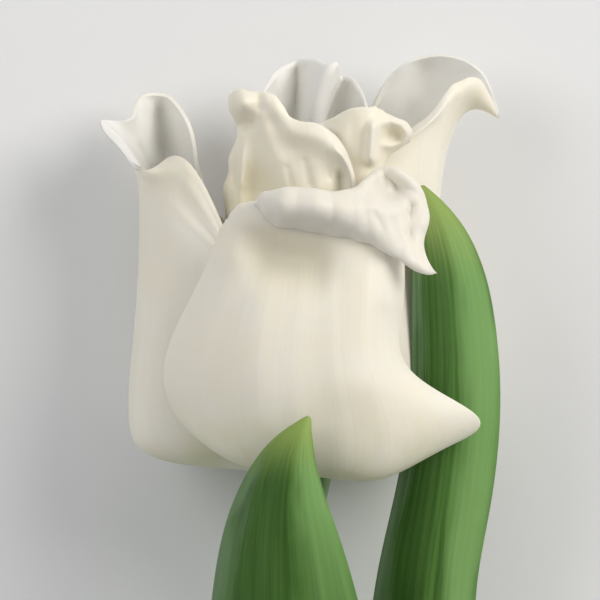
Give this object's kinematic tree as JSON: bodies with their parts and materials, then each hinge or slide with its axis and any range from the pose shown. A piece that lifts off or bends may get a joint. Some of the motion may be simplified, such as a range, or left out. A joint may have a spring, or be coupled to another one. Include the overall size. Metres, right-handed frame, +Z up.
{
  "type": "cut tulip flower",
  "caption": "White tulip with a crown-shaped bloom of rolled and ruffled tepals, on a cut green stem with broad clasping leaves, lying on its side.",
  "frame": {"origin": "middle of the footprint, on the surface that the flower lies on", "axes": "+Y along the stem from its cut end to the bloom, +Z up from the surface, +X to the right as the bloom is seen from above"},
  "size_m": [0.0612, 0.2992, 0.0488],
  "materials": {
    "petal": "satin",
    "leaf": "satin, with a faint wax bloom",
    "stem": "satin",
    "pistil": "satin",
    "filament": "satin",
    "anther": "powdery matte"
  },
  "bodies": {
    "root": {"outer_tepal_front": "petal", "outer_tepal_left": "petal", "outer_tepal_right": "petal", "inner_tepal_left": "petal", "inner_tepal_right": "petal", "inner_tepal_back": "petal", "leaf_front": "leaf", "leaf_side": "leaf", "stem": "stem", "pistil": "pistil", "filament_1": "filament", "anther_1": "anther", "filament_2": "filament", "anther_2": "anther", "filament_3": "filament", "anther_3": "anther", "filament_4": "filament", "anther_4": "anther", "filament_5": "filament", "anther_5": "anther", "filament_6": "filament", "anther_6": "anther"}
  },
  "joints": []
}
